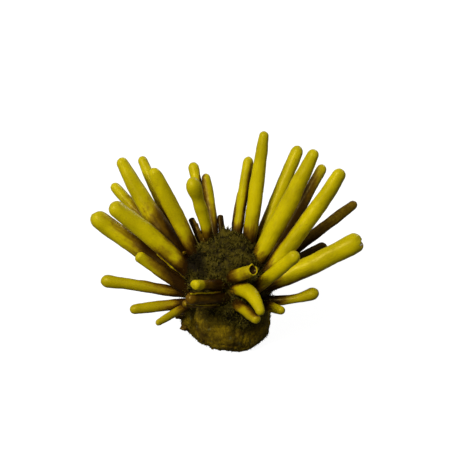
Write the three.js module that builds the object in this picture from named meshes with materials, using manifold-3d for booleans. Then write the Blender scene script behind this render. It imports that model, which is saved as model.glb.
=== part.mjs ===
// Finger coral: smooth tapering fingers that fan out of one rounded holdfast, which is cut off flat
// below and wears a mat of short algae over its crown.
// Millimetres, +Z up. The origin is the centre of the flat cut that the colony rests on.
import * as THREE from "three";
import { mergeVertices } from "three/addons/utils/BufferGeometryUtils.js";
import Module from "manifold-3d";

const wasm = await Module();
wasm.setup();

// Driving dimensions.
const CUT_RADIUS = 17.6; // flat cut at the bottom
const FLANK_RADIUS = 23.5; // widest part of the holdfast
const SHOULDER_HEIGHT = 24; // where the flank turns into the dome
const CROWN_HEIGHT = 62; // top of the bare holdfast
const TURF_THICKNESS = 2.2; // algae mat over the crown
const TURF_HEM = 21; // lowest edge of the mat
// How far the stump stands off a round one, as shares of its radius.
const OVAL = 0.1; // the cut is wider from side to side than from front to back
const TOE_SWELL = 0.14; // low down at the front right
const TOE_AZIMUTH = -50;
const SPUR_SWELL = 0.17; // a small ledge on the left flank
const SPUR_AZIMUTH = 178;
const SPUR_HEIGHT = 13;
const SPUR_SPREAD = 6; // up and down from there, in which it fades out
const WAVES = { swell: 0.02, count: 3, turn: -0.6, pitch: 12 }; // round it, drifting as they rise
// The flank's outline between the cut and the shoulder, as [share of its radius, share of its height].
const FLANK = [
  [0.94, 0.25],
  [1, 0.7],
];
const GAP = 0.3; // between pieces that touch

// The growth core lies inside the holdfast. Every finger starts on it, at a seat given by two
// angles: azimuth round +Z from +X, and polar angle down from +Z.
const CORE_HEIGHT = 34;
const CORE_RADIUS = 17.5;
const CORE_RISE = 19.6;

const TIP_STRETCH = 1.15; // length of a finger's rounded end, as a share of its radius
const BELLY = 0.55; // where a finger is measured between root and tip, as a share of its length

// How finely the surfaces are cut into flats: round each piece, and along its outline.
const HOLDFAST_SIDES = 24;
const TURF_SIDES = 16;
const FINGER_SIDES = 9;
const HOLE_SIDES = 6; // of the holes that the fingers make in the mat
const FLANK_STEPS = 5;
const DOME_STEPS = 7;
const TURF_STEPS = 5;
const FINGER_STEPS = 3;
const TIP_STEPS = 2;

const FINISHES = {
  holdfast: { color: 0x574b09, roughness: 0.85, metalness: 0 },
  turf: { color: 0x2e2a0b, roughness: 0.95, metalness: 0 },
  yellow: { color: 0xaa9805, roughness: 0.42, metalness: 0 },
  brown: { color: 0x5a3c08, roughness: 0.55, metalness: 0 },
};

// One row per finger. seat: [azimuth, polar] in degrees. aim: [heading, lean] of its chord, lean
// measured from straight up. thick: diameters near the root, at the belly and near the tip.
// bow: how far the middle stands off the chord, [upward, sideways].
const FINGERS = {
  // left fan
  left_long: { seat: [177, 100], aim: [162, 59], length: 75, thick: [9, 11.6, 10.4], bow: [0, 0] },
  left_broad: { seat: [-175, 76], aim: [169, 49], length: 66, thick: [9, 11, 9.6], bow: [1.5, 0] },
  left_under: { seat: [-148, 101], aim: [178, 52], length: 46, thick: [5.8, 7, 6.4], bow: [0, 0] },
  left_rise: { seat: [179, 87], aim: [141, 43], length: 85, thick: [11, 11.2, 7.2], bow: [-1, 1] },
  left_tall: { seat: [168, 61], aim: [147, 31], length: 64, thick: [6, 9.6, 6.9], bow: [0, 0] },
  left_behind: { seat: [153, 80], aim: [145, 59], length: 76, thick: [5.6, 7, 6.4], bow: [0, 1] },
  left_slim: { seat: [144, 83], aim: [129, 49], length: 80, thick: [6.4, 7.4, 6], bow: [0, 2.4] },
  // back row
  knob: { seat: [145, 35], aim: [172, 14], length: 50, thick: [5.6, 6.4, 8.6], bow: [0.5, 0] },
  back_left: { seat: [127, 64], aim: [106, 43], length: 61, thick: [5, 6, 5.8], bow: [0, 0] },
  back_short: { seat: [119, 55], aim: [100, 42], length: 51, thick: [5.6, 6.4, 5.8], bow: [0, 0] },
  back_high: { seat: [36, 49], aim: [68, 21], length: 74, thick: [7.2, 9.2, 5.8], bow: [0, 0] },
  back_slim: { seat: [67, 32], aim: [73, 31], length: 56, thick: [5.2, 6.2, 6.6], bow: [0, 0] },
  back_mid: { seat: [78, 44], aim: [82, 58], length: 43, thick: [4.8, 5.2, 4.6], bow: [0, 0] },
  stub_mid: { seat: [98, 46], aim: [100, 46], length: 24, thick: [4, 3.8, 3.4], bow: [0, 0] },
  stub_left: { seat: [137, 50], aim: [121, 56], length: 28, thick: [5.6, 5.4, 3.8], bow: [0, 0] },
  // right fan
  right_big: { seat: [-12, 50], aim: [22, 29], length: 77, thick: [8.8, 10.5, 6.8], bow: [-1, -1] },
  right_spread: { seat: [-27, 81], aim: [20, 38], length: 83, thick: [7.4, 10, 7.8], bow: [-1, -1] },
  right_row: { seat: [35, 62], aim: [50, 37], length: 74, thick: [6.8, 7.8, 7.6], bow: [0, 0] },
  right_wide: { seat: [-31, 83], aim: [7.5, 64.9], length: 67, thick: [8, 11.2, 10.8], bow: [-1, -0.5] },
  right_front: { seat: [-56, 87], aim: [-26, 41], length: 47, thick: [6, 7.4, 6.8], bow: [0, 0] },
  right_shade: {
    seat: [23, 84], aim: [26, 63], length: 74, thick: [6.2, 7, 5.6], bow: [-1, 0],
    tone: "brown",
  },
  right_back: { seat: [28, 99], aim: [47, 48], length: 82, thick: [6, 7, 6], bow: [-1, -0.5] },
  right_dark: {
    seat: [9, 84], aim: [19, 70], length: 45, thick: [6.4, 6.4, 5.6], bow: [0, 0],
    tone: "brown",
  },
  // front cluster, short fingers that lean out
  front_bend: { seat: [-80, 69], aim: [-64, 84], length: 34, thick: [8, 8.2, 5.4], bow: [5, 2] },
  front_low: { seat: [-81, 89], aim: [-64, 81], length: 31, thick: [6.2, 6, 5.2], bow: [0, 0] },
  front_broken: { seat: [-90, 51], aim: [-56, 54], length: 30, thick: [6.8, 7.4, 5.8], bow: [0, 0] },
  front_left: {
    seat: [-96, 61], aim: [-128, 65], length: 30.5, thick: [6.4, 6.4, 5.2], bow: [0, 0],
    tone: "brown",
  },
  front_left_low: {
    seat: [-88, 81], aim: [-138, 70], length: 32, thick: [6.4, 6.8, 6.2], bow: [0, 0],
    tone: "brown",
  },
  front_left_under: { seat: [-91, 96], aim: [-148, 71], length: 30, thick: [4.6, 5, 4.2], bow: [0, 0] },
  // low fingers at the sides
  low_left: { seat: [-159, 99], aim: [176, 82], length: 57, thick: [5.4, 6.6, 6.8], bow: [0.2, 0] },
  low_left_short: { seat: [-145, 104], aim: [-168, 90], length: 42, thick: [5.8, 6.4, 5.8], bow: [0, 0] },
  low_left_stub: { seat: [-149, 97], aim: [-142, 98], length: 32, thick: [4.8, 4.6, 3.6], bow: [-0.6, 0] },
  low_right: { seat: [-34, 101], aim: [-10, 77], length: 38, thick: [5.4, 6, 6.2], bow: [-2, -1] },
  low_right_stub: { seat: [-30, 104], aim: [-51, 79], length: 26, thick: [5.2, 5.8, 5], bow: [0, 0] },
  // low fingers round the back
  rear_right: { seat: [60, 96], aim: [58, 84], length: 62, thick: [6.4, 7.6, 6.6], bow: [1, 0] },
  rear_centre: { seat: [88, 100], aim: [84, 92], length: 56, thick: [6.6, 8, 7], bow: [1, -1] },
  rear_left: { seat: [112, 97], aim: [114, 84], length: 60, thick: [6.2, 7.4, 6.4], bow: [0, 1] },
  rear_side_left: { seat: [135, 100], aim: [138, 88], length: 58, thick: [5.8, 7, 6.4], bow: [0, 0] },
  rear_side_right: { seat: [38, 100], aim: [36, 88], length: 60, thick: [6, 7.2, 6.2], bow: [0, 1] },
  rear_high_left: { seat: [104, 72], aim: [101, 84], length: 30, thick: [5.6, 6.2, 5.6], bow: [1, 0] },
  rear_high_right: { seat: [75, 74], aim: [72, 80], length: 34, thick: [5.4, 6, 5.4], bow: [0, 0] },
  rear_low_left: { seat: [140, 112], aim: [130, 100], length: 30, thick: [5.4, 6, 5], bow: [0, 0] },
  rear_low_centre: { seat: [97, 116], aim: [100, 103], length: 44, thick: [5.8, 6.6, 5.8], bow: [1, 0] },
  rear_low_right: { seat: [55, 114], aim: [52, 100], length: 44, thick: [5.6, 6.4, 5.6], bow: [0, 0] },
};

const radians = THREE.MathUtils.degToRad;

// Unit vector at an azimuth round +Z and a polar angle down from +Z, both in degrees.
function direction(azimuth, polar) {
  const level = Math.sin(radians(polar));
  return new THREE.Vector3(
    level * Math.cos(radians(azimuth)),
    level * Math.sin(radians(azimuth)),
    Math.cos(radians(polar)),
  );
}

// A closed geometry as a manifold-3d solid.
function solidOf(geometry) {
  const bare = geometry.clone();
  bare.deleteAttribute("normal");
  bare.deleteAttribute("uv");
  const merged = mergeVertices(bare, 1e-3);
  const corners = [...merged.index.array];
  const triVerts = [];
  for (let i = 0; i < corners.length; i += 3) {
    const [a, b, c] = corners.slice(i, i + 3);
    if (a !== b && b !== c && c !== a) triVerts.push(a, b, c);
  }
  return new wasm.Manifold(
    new wasm.Mesh({
      numProp: 3,
      vertProperties: merged.attributes.position.array,
      triVerts: new Uint32Array(triVerts),
    }),
  );
}

// A solid's largest body as a geometry: crumbs that a cut leaves behind are dropped.
function geometryOf(solid) {
  const bodies = solid.decompose().sort((a, b) => b.volume() - a.volume());
  const mesh = bodies[0].getMesh();
  const geometry = new THREE.BufferGeometry();
  geometry.setAttribute("position", new THREE.BufferAttribute(mesh.vertProperties, 3));
  geometry.setIndex(new THREE.BufferAttribute(mesh.triVerts, 1));
  geometry.computeVertexNormals();
  return geometry;
}

function meshOf(name, geometry, finish) {
  const mesh = new THREE.Mesh(geometry, new THREE.MeshStandardMaterial(FINISHES[finish]));
  mesh.name = name;
  return mesh;
}

// How far the stump's outline stands off a round one, as a share of its radius.
function lobes(azimuth, height) {
  const low = Math.max(0, 1 - height / SHOULDER_HEIGHT);
  const facing = (degrees) => Math.max(0, Math.cos(azimuth - radians(degrees)));
  const waves = WAVES.swell * Math.sin(WAVES.count * azimuth + WAVES.turn + height / WAVES.pitch);
  const oval = OVAL * Math.cos(2 * azimuth) * low;
  const toe = TOE_SWELL * facing(TOE_AZIMUTH) ** 3 * low;
  const fromSpur = (height - SPUR_HEIGHT) / SPUR_SPREAD;
  const spur = SPUR_SWELL * facing(SPUR_AZIMUTH) ** 10 * Math.exp(-(fromSpur ** 2));
  return 1 + waves + oval + toe + spur;
}

// A solid turned round +Z from an outline of [radius, height] points, then given the stump's lobes.
function turnedAndLobed(outline, sides) {
  const geometry = new THREE.LatheGeometry(outline, sides);
  geometry.rotateX(Math.PI / 2);
  const position = geometry.attributes.position;
  for (let i = 0; i < position.count; i++) {
    const [x, y, z] = [position.getX(i), position.getY(i), position.getZ(i)];
    const swell = lobes(Math.atan2(y, x), z);
    position.setXY(i, x * swell, y * swell);
  }
  return solidOf(geometry);
}

// The dome's outline from a height up to the top, with everything grown outwards by a distance.
function domeOutline(fromHeight, grow, steps) {
  const rise = CROWN_HEIGHT + grow - SHOULDER_HEIGHT;
  const start = Math.asin((fromHeight - SHOULDER_HEIGHT) / rise);
  const arc = new THREE.EllipseCurve(0, SHOULDER_HEIGHT, FLANK_RADIUS + grow, rise, start, Math.PI / 2);
  const points = arc.getPoints(steps);
  points[points.length - 1].x = 0;
  return points;
}

// The whole stump, grown outwards by a distance so that it can also cut its neighbours.
function stump(grow) {
  const flank = new THREE.SplineCurve([
    new THREE.Vector2(CUT_RADIUS + grow, 0),
    ...FLANK.map(([out, up]) => new THREE.Vector2(out * FLANK_RADIUS + grow, up * SHOULDER_HEIGHT)),
  ]).getPoints(FLANK_STEPS);
  const dome = domeOutline(SHOULDER_HEIGHT, grow, DOME_STEPS);
  const outline = [new THREE.Vector2(0, 0), ...flank, ...dome];
  return turnedAndLobed(outline, HOLDFAST_SIDES);
}

// The outer shape of the mat of algae: a cap over the dome, flat along its hem.
function turfCap() {
  const dome = domeOutline(TURF_HEM, TURF_THICKNESS, TURF_STEPS);
  const outline = [new THREE.Vector2(0, TURF_HEM), ...dome];
  return turnedAndLobed(outline, TURF_SIDES);
}

// Where a finger stands: its own +Y runs along the chord, +Z is its upper side.
function fingerFrame({ seat, aim }) {
  const onCore = direction(...seat).multiply(new THREE.Vector3(CORE_RADIUS, CORE_RADIUS, CORE_RISE));
  const root = onCore.add(new THREE.Vector3(0, 0, CORE_HEIGHT));
  const along = direction(...aim);
  const side = new THREE.Vector3().crossVectors(new THREE.Vector3(0, 0, 1), along).normalize();
  const upper = new THREE.Vector3().crossVectors(along, side);
  return new THREE.Matrix4().makeBasis(side.clone().negate(), along, upper).setPosition(root);
}

// A finger's outline: root, a belly, then a rounded tip, grown outwards by a distance. Its corners
// lie outside the true round, so that its flats touch it.
function fingerOutline({ length, thick }, grow, sides) {
  const corner = 1 / Math.cos(Math.PI / sides);
  const [root, belly, tip] = thick.map((diameter) => (diameter / 2 + grow) * corner);
  const capRise = TIP_STRETCH * tip;
  const straight = length + grow - capRise;
  const flank = new THREE.SplineCurve([
    new THREE.Vector2(root, 0),
    new THREE.Vector2(belly, BELLY * straight),
    new THREE.Vector2(tip, straight),
  ]).getPoints(FINGER_STEPS);
  const end = new THREE.EllipseCurve(0, straight, tip, capRise, 0, Math.PI / 2);
  const cap = end.getPoints(TIP_STEPS).slice(1);
  cap[cap.length - 1].x = 0;
  return [new THREE.Vector2(0, 0), ...flank, ...cap];
}

// A finger in its own frame: turned from its outline, then bowed off its chord.
function finger(row, grow, sides = FINGER_SIDES) {
  const geometry = new THREE.LatheGeometry(fingerOutline(row, grow, sides), sides);
  const position = geometry.attributes.position;
  const [upward, sideways] = row.bow;
  for (let i = 0; i < position.count; i++) {
    const share = THREE.MathUtils.clamp(position.getY(i) / row.length, 0, 1);
    const offChord = 4 * share * (1 - share);
    position.setX(i, position.getX(i) - sideways * offChord);
    position.setZ(i, position.getZ(i) + upward * offChord);
  }
  return geometry.applyMatrix4(fingerFrame(row));
}

const colony = new THREE.Group();
const fingers = new THREE.Group();
colony.add(meshOf("holdfast", geometryOf(stump(0)), "holdfast"));

// Each finger is cut back where it would run into the holdfast or into a finger listed before it.
const stumpGuard = stump(GAP);
const guards = [];
for (const [name, row] of Object.entries(FINGERS)) {
  const whole = solidOf(finger(row, 0));
  const frame = fingerFrame(row);
  const cut = geometryOf(wasm.Manifold.difference([whole, stumpGuard, ...guards]));
  guards.push(solidOf(finger(row, GAP)));
  const mesh = meshOf(name, cut.applyMatrix4(frame.clone().invert()), row.tone ?? "yellow");
  mesh.applyMatrix4(frame);
  fingers.add(mesh);
}
colony.add(fingers);

// The mat lies on the stump, and the fingers pierce it.
const holes = Object.values(FINGERS).map((row) => solidOf(finger(row, 2 * GAP, HOLE_SIDES)));
const mat = wasm.Manifold.difference([turfCap(), stumpGuard, ...holes]);
colony.add(meshOf("turf", geometryOf(mat), "turf"));

export default colony;
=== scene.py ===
"""Finger coral: waxy tapering fingers that fan out of a rough holdfast crowned with algae.

Metres, +Z up. The origin is the centre of the flat cut that the colony rests on.
"""

import functools
import math
import random

import bpy
import numpy as np
from bpy.props import FloatProperty, FloatVectorProperty, IntProperty, PointerProperty
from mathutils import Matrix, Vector, noise
from mathutils.bvhtree import BVHTree


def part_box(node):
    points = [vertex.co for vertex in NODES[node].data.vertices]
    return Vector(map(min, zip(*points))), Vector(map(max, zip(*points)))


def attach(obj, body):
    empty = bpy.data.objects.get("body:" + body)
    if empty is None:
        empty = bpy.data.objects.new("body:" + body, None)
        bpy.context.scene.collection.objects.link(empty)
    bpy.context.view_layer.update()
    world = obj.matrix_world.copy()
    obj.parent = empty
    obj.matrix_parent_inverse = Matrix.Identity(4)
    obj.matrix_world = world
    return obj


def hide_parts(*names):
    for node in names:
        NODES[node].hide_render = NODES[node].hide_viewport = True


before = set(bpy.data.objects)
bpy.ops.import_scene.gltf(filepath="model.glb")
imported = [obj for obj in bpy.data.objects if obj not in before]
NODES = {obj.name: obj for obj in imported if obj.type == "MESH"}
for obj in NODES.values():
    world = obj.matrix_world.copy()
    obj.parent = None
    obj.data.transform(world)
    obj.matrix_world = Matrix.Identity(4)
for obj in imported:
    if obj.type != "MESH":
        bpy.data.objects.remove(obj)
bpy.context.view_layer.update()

bl_info = {
    "name": "Finger Coral",
    "version": (1, 0, 0),
    "blender": (4, 5, 0),
    "location": "3D View > Sidebar > Coral",
    "description": "Builds a finger coral colony piece by piece round its solid model",
    "category": "Add Mesh",
}

MM = 0.001
UP = np.array((0.0, 0.0, 1.0))
HEART = np.array((0.0, 0.0, 34 * MM))  # the point that the fingers grow away from
SEED = 7

# Fingers by where they grow.
LEFT_FAN = (
    "left_long", "left_broad", "left_under", "left_rise", "left_tall", "left_behind", "left_slim",
)
BACK_ROW = (
    "knob", "back_left", "back_short", "back_high",
    "back_slim", "back_mid", "stub_mid", "stub_left",
)
RIGHT_FAN = (
    "right_big", "right_spread", "right_row", "right_wide", "right_front",
    "right_shade", "right_back", "right_dark",
)
FRONT_CLUSTER = (
    "front_bend", "front_low", "front_broken", "front_left", "front_left_low", "front_left_under",
)
LOW_FINGERS = ("low_left", "low_left_short", "low_left_stub", "low_right", "low_right_stub")
REAR_FINGERS = (
    "rear_right", "rear_centre", "rear_left", "rear_side_left", "rear_side_right",
    "rear_high_left", "rear_high_right", "rear_low_left", "rear_low_centre", "rear_low_right",
)
# Fingers brown all over, partly their own brown and partly painted shade.
BROWN_AND_SHADED_FINGERS = ("right_shade", "right_dark", "front_left", "front_left_low")

# How brown a finger is, as [at its root, at its tip], where it isn't plain yellow: partly the
# finger's own brown and partly painted shade where its neighbours shade it; below zero it takes
# painted shade away. A second pair says over which share of its length it changes.
BROWN_AND_SHADE_ALONG = {
    "right_shade": (1.0, 0.9),
    "right_dark": (1.0, 0.95),
    "front_left": (0.85, 0.0, 0.66, 0.88),
    "front_left_low": (0.65, 1.0),
    "front_left_under": (0.15, 0.95, 0.3, 0.75),
    "front_bend": (-0.5, 0.05),
    "front_low": (0.0, 0.42),
    "front_broken": (0.3, 0.5),
    "left_under": (1.0, 0.25, 0.25, 1.0),
    "left_behind": (0.4, 0.05),
    "back_short": (0.65, 0.15),
    "back_left": (0.5, 0.2),
    "back_slim": (0.2, -0.1),
    "back_mid": (0.9, 0.55),
    "stub_mid": (1.2, 0.95),
    "stub_left": (1.2, 0.9),
    "right_big": (-0.4, 0.05, 0.0, 0.4),
    "right_spread": (-0.2, 0.0, 0.0, 0.4),
    "right_front": (-0.25, 0.0, 0.0, 0.5),
    "right_row": (-0.1, -0.2),
    "right_back": (1.2, 0.4, 0.3, 1.0),
    "low_right": (0.45, 0.22),
    "rear_low_left": (1.0, 0.6),
    "left_long": (0.45, 0.2, 0.3, 1.0),
    "left_broad": (0.36, 0.1, 0.3, 0.95),
    "back_high": (-0.25, 0.15, 0.0, 0.4),
    "low_left": (0.3, 0.0),
    "low_left_short": (0.4, 0.1),
    "low_left_stub": (0.5, 0.1),
}
# Painted shade along the side that faces a neighbour, with some of the skin's own brown, as
# [degrees round it, how brown, share where full, share where gone].
SIDE_SHADE_AND_BROWN = {
    "left_rise": ((95, 0.55, 0.45, 0.72),),
    "left_behind": ((80, 0.40, 0.5, 0.9),),
    "left_slim": ((90, 0.35, 0.5, 1.1),),
    "left_long": ((80, 0.36, 0.36, 0.62), (80, 0.12, 0.5, 0.8), (270, 0.15, 0.5, 0.9)),
    "left_broad": ((90, 0.12, 0.4, 0.7),),
    "left_tall": ((95, 0.18, 0.3, 0.8),),
    "left_under": ((80, 0.4, 0.7, 1.0),),
    "low_left": ((270, 0.3, 0.4, 0.9),),
    "knob": ((270, 0.30, 0.5, 0.8), (0, 0.15, 0.3, 0.8)),
    "back_left": ((180, 0.5, 0.8, 1.1),),
    "back_short": ((10, 0.8, 0.95, 1.15),),
    "back_high": ((0, 0.2, 0.3, 0.9),),
    "right_big": ((270, 0.15, 0.6, 1.0),),
    "right_back": ((90, 0.5, 0.75, 1.0),),
    "right_spread": ((270, 0.22, 0.5, 0.9),),
    "right_wide": ((270, 0.55, 0.5, 0.95), (180, 0.15, 0.3, 0.7), (240, 0.8, 1.02, 0.84)),
    "right_front": ((270, 0.35, 0.5, 0.9),),
    "front_bend": ((270, 0.2, 0.5, 1.0),),
}
# Swellings and necks along a finger, as rows of [share of its length, width in mm, swell].
SWELLS = {
    "knob": ((0.87, 4.4, 0.09), (0.70, 3.6, -0.16), (0.55, 6, 0.04)),
    "left_rise": ((0.36, 14, 0.10),),
    "left_slim": ((0.35, 14, 0.16),),
    "left_long": ((0.9, 5, 0.05),),
    "right_wide": ((0.90, 6, 0.05), (0.66, 7, -0.04)),
    "front_left": ((0.9, 2.4, 0.08), (0.6, 4, -0.08)),
    "front_left_low": ((0.9, 3, 0.10), (0.45, 3, -0.08)),
    "low_left": ((0.92, 5, 0.08),),
    "low_right": ((0.88, 5, 0.14), (0.5, 6, -0.06)),
}
# How far a finger's end droops, in mm, over its last part, as a share of its length.
DROOPS = {"front_bend": (0.8, 0.5), "low_right": (-1.2, 0.5), "low_left_stub": (1.0, 0.6)}
DOME_MIDDLE = Vector((0, 0, 24 * MM))
# Mounds and hollows in the mat of algae, as [azimuth, polar angle, width in degrees, rise in mm,
# how much darker]. The darkness is added to the mat's painted shade; in the hollows it is painted
# shade.
HUMMOCKS = (
    (60, 22, 6, 2.6, 0), (100, 15, 7, 4.6, 0), (150, 32, 9, 3.2, 0.7), (-175, 46, 11, 2.8, 0.9),
    (-40, 30, 8, 2.0, 0), (-110, 34, 9, 2.2, 0), (20, 34, 7, 2.6, 0), (-128, 50, 8, 1.0, 0.7),
    (-93, 50, 9, -4.6, 1.0), (-70, 68, 9, -2.0, 0.8), (-60, 44, 7, 1.6, 0), (165, 60, 10, 2.0, 0.8),
    (-150, 66, 10, 0.5, 0.8), (-84, 14, 8, -1.6, 0.3), (-135, 36, 9, -1.4, 0.6),
    (-20, 55, 8, -1.5, 0.7), (110, 50, 12, 1.5, 0.5), (50, 48, 9, 1.0, 0.4),
    (-164, 31, 10, 1.6, 0.85), (-66, 24, 5, 1.6, 0),
)
# Buds and crumbs, as [foot, direction, radius, height, how brown], lengths in mm.
BUDS = {
    "bud_left": ((-24.0, 1.0, 54.5), (-0.35, -0.75, 0.55), 0.9, 3.2, 0.75),
    "bud_red": ((-14.5, 12.0, 54.0), (-0.36, 0.5, 0.85), 2.0, 15.0, 0.8),
    "bud_red_low": ((-12.5, 9.0, 55.0), (-0.2, 0.4, 0.9), 1.3, 9.0, 0.7),
    "bud_crown_left": ((-12.4, -2.0, 55.5), (-0.2, -0.5, 0.8), 2.2, 3.0, 1.1),
    "bud_front": ((2.8, -22.6, 30.6), (0.1, -0.95, 0.3), 0.9, 2.2, 0.0),
    "bud_front_right": ((8.0, -21.0, 29.0), (0.5, -0.8, 0.3), 1.3, 2.4, 0.35),
    "spur_left": ((-22.5, -2.0, 15.0), (-0.95, -0.25, -0.05), 3.4, 8.4, 1.1),
    "spur_left_low": ((-22.0, -5.0, 11.0), (-0.85, -0.4, -0.2), 2.8, 6.0, 1.0),
}
# Thin runners that creep along a finger, as [finger, degrees round it, from and to which share of
# its length, thickness in mm, how brown].
RUNNERS = {
    "runner_left": ("left_broad", 304, 0.02, 0.40, 1.2, 0.2),
    "runner_upper": ("front_left_low", 78, 0.20, 0.97, 1.3, 0.40),
    "runner_lower": ("front_left_under", 20, 0.05, 1.0, 1.3, 0.42),
}
# Ends that are broken open, as the depth of the hollow in mm.
HOLLOWS = {"front_broken": 1.3}
# Ends flatter than the usual round, as the height of the rounding over the end's radius.
BLUNT_ENDS = {
    "right_wide": 0.8, "front_left": 0.7, "left_under": 0.8, "stub_mid": 0.6, "stub_left": 0.6,
    "front_low": 0.8,
}
ROUND_END = 1.3
# Dents in a finger, as rows of [share of its length, degrees round it, width in mm, depth in mm].
DENTS = {
    "right_wide": ((0.97, 160, 2.2, 0.8),),
    "left_long": ((0.80, 70, 5, 0.5), (0.62, 60, 6, 0.6), (0.44, 65, 6, 0.5)),
    "left_tall": ((0.97, 150, 2.5, 0.6),),
    "front_left": ((0.98, 250, 2.2, 0.7),),
    "back_short": ((0.95, 200, 2.2, 0.7),),
}
# Notches across an end, as [degrees round it, offset in mm, width in mm, depth in mm].
NOTCHES = {"right_wide": (95, -1.2, 0.9, 2.6), "left_long": (60, 1.5, 1.6, 0.6)}


def colour(code):
    """Scene-linear red, green and blue of an sRGB hex colour."""
    parts = (int(code[i:i + 2], 16) / 255 for i in (0, 2, 4))
    return tuple(c / 12.92 if c <= 0.04045 else ((c + 0.055) / 1.055) ** 2.4 for c in parts)


def colour_property(name, description, code):
    return FloatVectorProperty(
        name=name, description=description, default=colour(code), subtype="COLOR", min=0, max=1,
    )


def length_property(name, description, default, **limits):
    return FloatProperty(
        name=name, description=description, default=default, unit="LENGTH", subtype="DISTANCE",
        precision=5, **limits,
    )


class FingerSettings(bpy.types.PropertyGroup):
    segments: IntProperty(
        name="Segments", description="Sides of each finger", default=36, min=12, max=96,
    )
    ring_spacing: length_property(
        "Ring Spacing", "Distance between rings along a finger", 1.2 * MM, min=0.0003, max=0.01,
    )
    sink: length_property(
        "Root Depth", "How deep each finger runs into the holdfast", 6 * MM, min=0, max=0.02,
    )
    lump_height: length_property(
        "Lump Height", "Height of the broad swellings along a finger", 0.34 * MM, min=0, max=0.002,
    )
    lump_size: length_property(
        "Lump Size", "Distance across a broad swelling", 9 * MM, min=0.001, max=0.05,
    )
    grain_height: length_property(
        "Grain Height", "Height of the small unevenness of the skin", 0.09 * MM, min=0, max=0.001,
    )
    wander: length_property(
        "Wander", "How far a finger strays off its middle line", 0.6 * MM, min=0, max=0.003,
    )
    yellow: colour_property("Yellow", "Skin that stands in the open", "BBAB02")
    olive: colour_property("Olive", "Darker patches of the skin", "948600")
    # Painted shade for the low fingers, darker towards the bottom.
    low_shade_olive: colour_property("Low Olive", "Skin of the low fingers", "8C7A02")
    tip: colour_property("Tip", "Pale growing tips", "A89C10")
    # Rust is both the skin's own blotches and the first step of the painted shade.
    rust: colour_property("Rust", "Blush on crowded skin", "86690A")
    # Brown is painted shade, with some of the skin's own brown.
    brown: colour_property("Brown", "Shaded skin between the fingers", "553A04")
    # Umber is painted shade only, the deepest in the clefts and at the roots.
    umber: colour_property("Umber", "Deepest skin near the roots", "2C1803")


class HoldfastSettings(bpy.types.PropertyGroup):
    columns: IntProperty(
        name="Columns", description="Faces round the holdfast", default=220, min=24, max=400,
    )
    rows: IntProperty(
        name="Rows", description="Faces from the cut to the crown", default=130, min=24, max=300,
    )
    lump_height: length_property(
        "Lump Height", "Height of the lumps on the flank", 1.0 * MM, min=0, max=0.004,
    )
    furrow_depth: length_property(
        "Furrow Depth", "Depth of the upright furrows", 0.6 * MM, min=0, max=0.002,
    )
    notch_depth: length_property(
        "Notch Depth", "Depth of the chips round the cut's rim", 1.1 * MM, min=0, max=0.004,
    )
    olive: colour_property("Olive", "Bare rock where it is lightest", "8C7408")
    umber: colour_property("Umber", "Bare rock where it is darkest", "3A2B03")
    rust: colour_property("Rust", "Stained patches", "6A4602")
    lichen: colour_property("Lichen", "Small pale crusts", "7E7C48")
    fibres: IntProperty(
        name="Fibres", description="Loose fibres on the flank", default=2600, min=0, max=12000,
    )


class AlgaeSettings(bpy.types.PropertyGroup):
    blades: IntProperty(
        name="Blades", description="Blades in the mat on the crown",
        default=11000, min=0, max=18000,
    )
    blade_length: length_property(
        "Blade Length", "Length of a blade of algae", 2.1 * MM, min=0.0003, max=0.01,
    )
    blade_width: length_property(
        "Blade Width", "Width of a blade at its foot", 0.42 * MM, min=0.00005, max=0.002,
    )
    # Dark is the mat's own dark colour and also its painted shade.
    dark: colour_property("Dark", "Depths of the mat", "140E03")
    green: colour_property("Green", "Most of the blades", "54490C")
    pale: colour_property("Pale", "Bleached blades", "746A26")


class StageSettings(bpy.types.PropertyGroup):
    floor_radius: length_property(
        "Floor Radius", "Radius of the round floor", 4.0, min=0.5, max=20,
    )
    floor_glow: FloatProperty(
        name="Floor Glow", description="Light that the table gives off from below",
        default=0.95, min=0, max=2,
    )
    key_strength: FloatProperty(
        name="Key Light", description="Strength of the main soft light",
        default=3.35, min=0, max=20,
    )
    key_spread: FloatProperty(
        name="Key Spread", description="How wide the main light is",
        default=math.radians(18), min=0, max=math.pi, subtype="ANGLE", unit="ROTATION",
    )
    back_strength: FloatProperty(
        name="Back Light", description="Strength of the faint light from behind",
        default=0.7, min=0, max=10,
    )
    room_strength: FloatProperty(
        name="Room Light", description="Strength of the even light from all round",
        default=0.25, min=0, max=5,
    )
    camera_height: FloatProperty(
        name="Camera Elevation", description="How far the camera looks down",
        default=math.radians(28), subtype="ANGLE", unit="ROTATION",
    )
    camera_distance: length_property(
        "Camera Distance", "From the camera to the colony", 0.603, min=0.1, max=10,
    )


class CoralSettings(bpy.types.PropertyGroup):
    finger: PointerProperty(type=FingerSettings)
    holdfast: PointerProperty(type=HoldfastSettings)
    algae: PointerProperty(type=AlgaeSettings)
    stage: PointerProperty(type=StageSettings)


# ---------------------------------------------------------------- shapes


def unit(vector):
    return vector / np.linalg.norm(vector)


def smoothstep(low, high, value):
    share = np.clip((value - low) / (high - low), 0, 1)
    return share * share * (3 - 2 * share)


def seed_of(name):
    """A fixed number for a piece's name."""
    return sum((i + 1) * ord(letter) for i, letter in enumerate(name))


def ripple(place, size, shift=0.0):
    """Smooth noise from -1 to 1 at a place, with features of a size."""
    return noise.noise(Vector(place) / size + Vector((shift, -shift, 0.7 * shift)))


def fractal(place, size, octaves, shift=0.0):
    return noise.fractal(Vector(place) / size + Vector((shift, shift, -shift)), 0.9, 2.1, octaves)


@functools.cache
def points_and_corners(node):
    """A CAD node's vertices, and the three that each of its triangles joins."""
    mesh = NODES[node].data
    mesh.calc_loop_triangles()
    points = np.array([v.co for v in mesh.vertices], float)
    corners = np.array([t.vertices[:] for t in mesh.loop_triangles], int)
    return points, corners


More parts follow.
